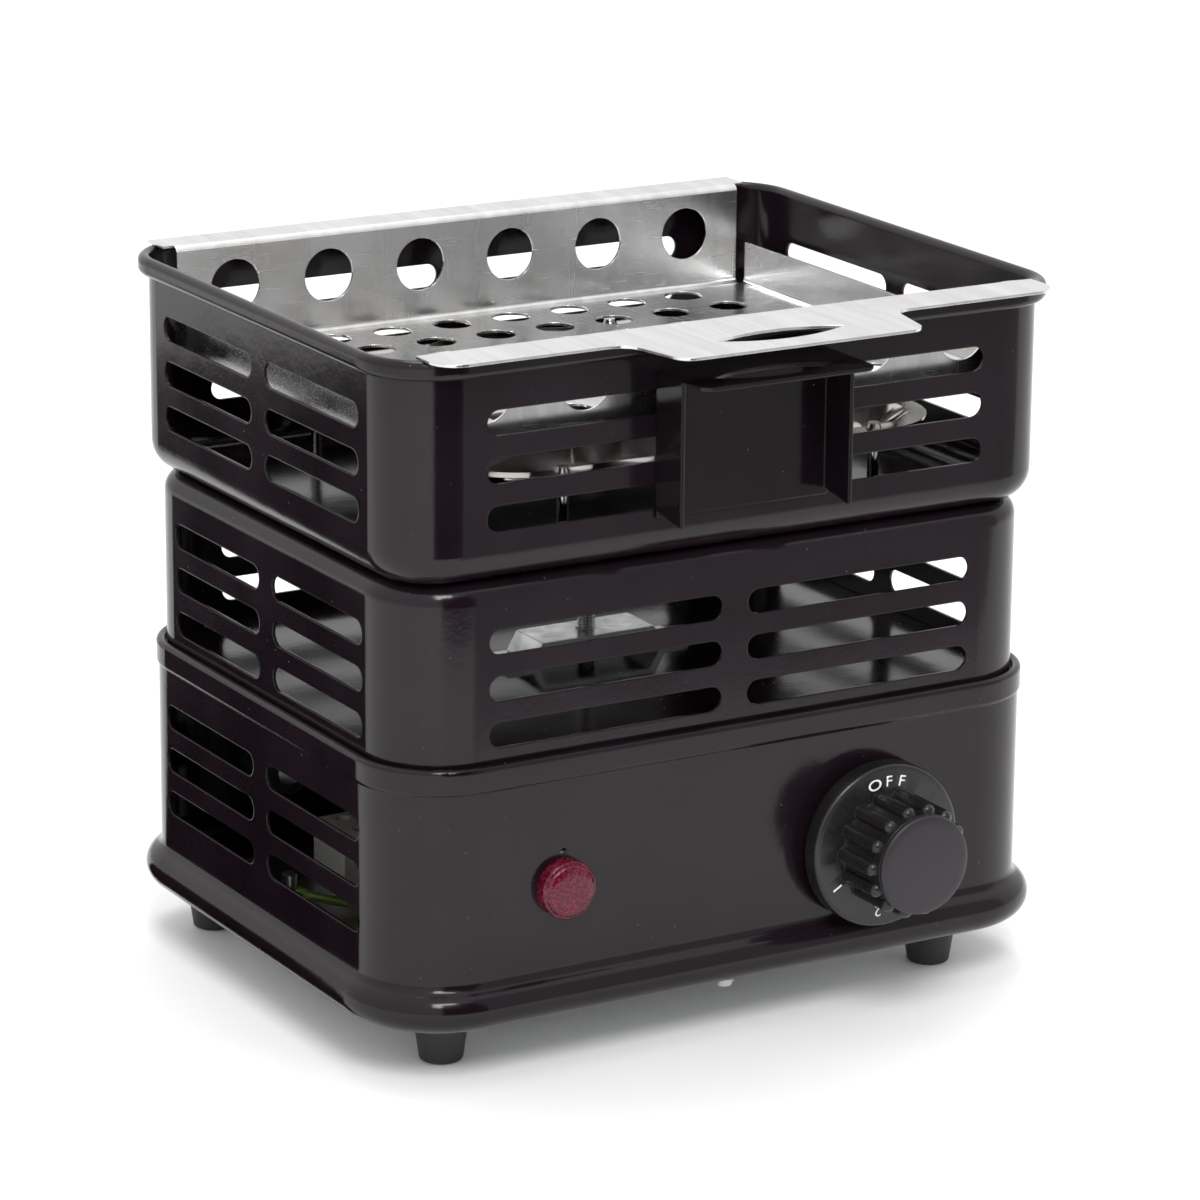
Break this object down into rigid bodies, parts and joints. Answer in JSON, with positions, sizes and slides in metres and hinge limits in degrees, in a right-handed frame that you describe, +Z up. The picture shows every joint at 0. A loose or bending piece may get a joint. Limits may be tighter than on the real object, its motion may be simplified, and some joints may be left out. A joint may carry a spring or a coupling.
{
  "type": "hot plate burner",
  "caption": "Tabletop electric charcoal starter: stacked slotted black steel housings, a ribbed heat knob, a pilot lamp and a lift-out perforated steel coal tray.",
  "frame": {"origin": "on the surface that the feet stand on, in the middle of the outline's width and depth", "axes": "+X to the right as seen from the knob side, +Y to the back, +Z up"},
  "size_m": [0.1988, 0.1838, 0.1847],
  "materials": {
    "black_enamel": "glossy black enamel on pressed steel",
    "bracket_enamel": "glossy black enamel, spot-welded bracket",
    "zinc_plate": "plain zinc-coated sheet",
    "bright_zinc": "bright zinc plating",
    "screw_steel": "zinc-plated hardware",
    "foot_rubber": "moulded black rubber",
    "regulator_plastic": "dark moulded resin",
    "shaft_steel": "turned steel",
    "contact_brass": "plain brass",
    "knob_plastic": "glossy black phenolic, white printed marks",
    "cap_plastic": "satin black",
    "red_lens": "pebbled translucent red",
    "lamp_plastic": "natural polyamide",
    "gland_plastic": "black polyamide",
    "earth_insulation": "green and yellow insulation",
    "live_insulation": "brown insulation",
    "glass_braid": "varnished glass-fibre braid",
    "red_grommet": "silicone rubber",
    "ceramic": "unglazed steatite",
    "chrome_pan": "polished bright sheet",
    "element_sheath": "heat-tinted nickel alloy sheath",
    "stainless_tray": "bright rolled stainless steel with heat stains"
  },
  "bodies": {
    "burner": {"base_housing": "black_enamel", "middle_housing": "black_enamel", "burner_housing": "black_enamel", "handle_bracket": "bracket_enamel", "base_plate": "zinc_plate", "clamp_bar": "bright_zinc", "tie_bolt": "bright_zinc", "tie_washers": "bright_zinc", "tie_nut": "bright_zinc", "plate_screws": "screw_steel", "foot_screws": "screw_steel", "foot_nuts": "screw_steel", "regulator_nut": "screw_steel", "regulator_screws": "screw_steel", "block_screws": "screw_steel", "earth_stud": "screw_steel", "lamp_clip": "screw_steel", "wire_crimps": "screw_steel", "element_trivet": "screw_steel", "foot_front_left": "foot_rubber", "foot_front_right": "foot_rubber", "foot_rear_left": "foot_rubber", "foot_rear_right": "foot_rubber", "regulator_body": "regulator_plastic", "regulator_terminals": "contact_brass", "terminal_screws": "contact_brass", "lamp_lens": "red_lens", "lamp_body": "lamp_plastic", "terminal_block": "lamp_plastic", "cord_gland": "gland_plastic", "gland_nut": "gland_plastic", "earth_wire": "earth_insulation", "live_wire": "live_insulation", "neutral_wire": "glass_braid", "heater_wire": "glass_braid", "lamp_wires": "glass_braid", "deck_bushes": "red_grommet", "floor_bushes": "ceramic", "element_insulators": "ceramic", "reflector_pan": "chrome_pan", "pan_pins": "chrome_pan", "heating_element": "element_sheath"},
    "knob": {"control_knob": "knob_plastic", "knob_cap": "cap_plastic", "regulator_shaft": "shaft_steel"},
    "tray": {"coal_tray": "stainless_tray"}
  },
  "joints": [
    {"name": "knob_turn", "type": "hinge", "parent": "burner", "child": "knob", "pos_m": [0.04, -0.072, 0.0455], "axis": [0, 1, 0], "range_deg": [0, 256]},
    {"name": "tray_lift", "type": "slide", "parent": "burner", "child": "tray", "axis": [0, 0, 1], "range_m": [0, 0.07]}
  ]
}
